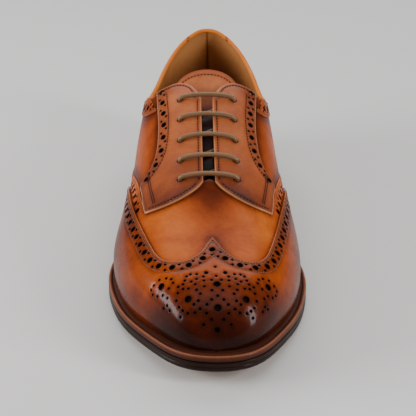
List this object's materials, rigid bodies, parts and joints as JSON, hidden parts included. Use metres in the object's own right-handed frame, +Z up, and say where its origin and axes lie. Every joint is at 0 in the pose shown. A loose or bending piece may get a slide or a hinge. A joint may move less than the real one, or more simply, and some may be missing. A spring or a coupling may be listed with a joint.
{
  "type": "brogue shoe",
  "caption": "Right full brogue derby shoe in tan calf, with peaked wing cap, open lacing, welted leather sole and stacked heel, standing empty.",
  "frame": {"origin": "middle of the shoe's length and width, on the floor that the shoe stands on", "axes": "-Y towards the toe, +Y towards the heel, +X towards the medial side of this right shoe, +Z up"},
  "size_m": [0.1141, 0.306, 0.1046],
  "materials": {
    "tan_calf": "polished calf leather with a mottled tan patina",
    "burnished_calf": "glossy calf leather burnished to deep red-brown",
    "facing_calf": "smooth polished calf leather",
    "collar_leather": "soft rolled edge",
    "lining_leather": "matte natural lining leather",
    "welt_leather": "dyed and waxed edge",
    "sole_edge": "inked and polished edge",
    "top_piece_rubber": "fine matte rubber",
    "waxed_cotton": "round braided waxed cotton"
  },
  "bodies": {
    "root": {"outsole": "sole_edge", "welt": "welt_leather", "heel_lifts": "sole_edge", "heel_top_piece": "top_piece_rubber", "insole": "lining_leather", "upper": "tan_calf", "tongue": "facing_calf", "wing_cap": "burnished_calf", "facing_lateral": "facing_calf", "facing_medial": "facing_calf", "collar_band_lateral": "tan_calf", "collar_band_medial": "tan_calf", "backstay": "tan_calf", "collar_roll": "collar_leather", "laces": "waxed_cotton"}
  },
  "joints": []
}
